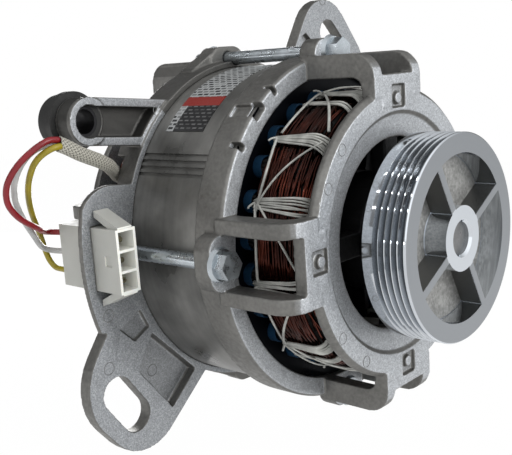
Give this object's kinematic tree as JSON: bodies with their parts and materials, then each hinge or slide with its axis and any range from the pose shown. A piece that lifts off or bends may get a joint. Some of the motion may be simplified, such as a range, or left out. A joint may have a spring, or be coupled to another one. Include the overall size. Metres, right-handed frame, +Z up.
{
  "type": "washing machine motor",
  "caption": "Open-frame induction motor with a ribbed belt pulley, cast end bells, a rubber-bushed pivot tube, slotted tension lugs and a wired connector.",
  "frame": {"origin": "centre of the pivot bore at the rear end of its steel sleeve", "axes": "+Y along the pivot bore and the rotor axis, away from the pulley; +Z up as the motor stands in the picture; +X to the right as seen from the pulley"},
  "size_m": [0.1835, 0.1321, 0.1721],
  "materials": {
    "cast_alloy": "die-cast, satin, fine sparkle",
    "machined_alloy": "turned",
    "rotor_alloy": "as cast",
    "lamination": "lacquered electrical steel",
    "liner_film": "blue film",
    "wedge_film": "pressed board",
    "enamelled_copper": "enamel over copper",
    "lacing_tape": "flat woven tape",
    "zinc_steel": "zinc plated",
    "bearing_steel": "ground",
    "cage_steel": "pressed",
    "shaft_steel": "ground",
    "bush_rubber": "matt",
    "connector_nylon": "moulded nylon",
    "terminal_tin": "tinned brass",
    "glass_braid": "woven glass fibre",
    "lead_red": "silicone",
    "lead_white": "silicone",
    "lead_yellow": "silicone",
    "label_film": "printed film"
  },
  "bodies": {
    "housing": {"rear_bell": "cast_alloy", "front_bell": "cast_alloy", "stator_core": "lamination", "slot_liners": "liner_film", "slot_wedges": "wedge_film", "slot_conductors": "enamelled_copper", "front_coil_bundle": "enamelled_copper", "front_winding": "enamelled_copper", "front_lacing": "lacing_tape", "rear_coil_bundle": "enamelled_copper", "rear_winding": "enamelled_copper", "rear_lacing": "lacing_tape", "through_bolts": "zinc_steel", "flange_nuts": "zinc_steel", "wave_washer": "bearing_steel", "front_bearing_outer": "bearing_steel", "front_bearing_shields": "bearing_steel", "rear_bearing_outer": "bearing_steel", "rear_bearing_shields": "bearing_steel", "pivot_bush": "bush_rubber", "pivot_sleeve": "zinc_steel", "connector_housing": "connector_nylon", "connector_terminals": "terminal_tin", "wire_sleeve": "glass_braid", "lead_red": "lead_red", "lead_white": "lead_white", "lead_yellow": "lead_yellow", "rating_label": "label_film"},
    "rotor": {"shaft": "shaft_steel", "rotor_core": "lamination", "rotor_cage": "rotor_alloy", "pulley": "machined_alloy", "front_bearing_inner": "bearing_steel", "rear_bearing_inner": "bearing_steel"},
    "front_ball_set": {"front_bearing_balls": "bearing_steel", "front_bearing_cage": "cage_steel"},
    "rear_ball_set": {"rear_bearing_balls": "bearing_steel", "rear_bearing_cage": "cage_steel"}
  },
  "joints": [
    {"name": "rotor_spin", "type": "hinge", "parent": "housing", "child": "rotor", "pos_m": [0.0775, 0, -0.0382], "axis": [0, 1, 0], "continuous": true},
    {"name": "front_balls_spin", "type": "hinge", "parent": "housing", "child": "front_ball_set", "pos_m": [0.0775, 0, -0.0382], "axis": [0, 1, 0], "continuous": true},
    {"name": "rear_balls_spin", "type": "hinge", "parent": "housing", "child": "rear_ball_set", "pos_m": [0.0775, 0, -0.0382], "axis": [0, 1, 0], "continuous": true}
  ],
  "couplings": [
    {"joint": "front_balls_spin", "follows": "rotor_spin", "ratio": 0.3808},
    {"joint": "rear_balls_spin", "follows": "rotor_spin", "ratio": 0.3808}
  ]
}
